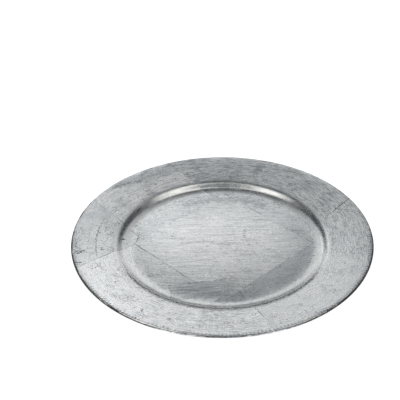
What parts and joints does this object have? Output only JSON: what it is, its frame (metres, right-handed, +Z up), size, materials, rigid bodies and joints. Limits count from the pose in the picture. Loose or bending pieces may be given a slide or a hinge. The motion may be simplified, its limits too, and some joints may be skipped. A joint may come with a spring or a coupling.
{
  "type": "charger plate",
  "caption": "Round charger plate: a dark melamine moulding with a wide sloped rim, shallow well and foot ring, its top covered with hand-laid sheets of silver leaf.",
  "frame": {"origin": "on the table, at the centre of the foot ring", "axes": "+Z up through the middle of the plate, -Y towards the viewer of the picture, +X to the viewer's right"},
  "size_m": [0.3304, 0.3304, 0.0179],
  "materials": {
    "melamine": "satin black, moulded",
    "silver_leaf": "hand-laid leaf, brushed, under clear lacquer"
  },
  "bodies": {
    "root": {"melamine_body": "melamine", "leaf_centre": "silver_leaf", "leaf_back_left": "silver_leaf", "leaf_back_right": "silver_leaf", "leaf_front_left": "silver_leaf", "leaf_front_right": "silver_leaf", "leaf_left": "silver_leaf", "leaf_right": "silver_leaf", "leaf_back": "silver_leaf", "leaf_front": "silver_leaf", "patch_rim_back": "silver_leaf", "patch_rim_front": "silver_leaf", "patch_well": "silver_leaf"}
  },
  "joints": []
}
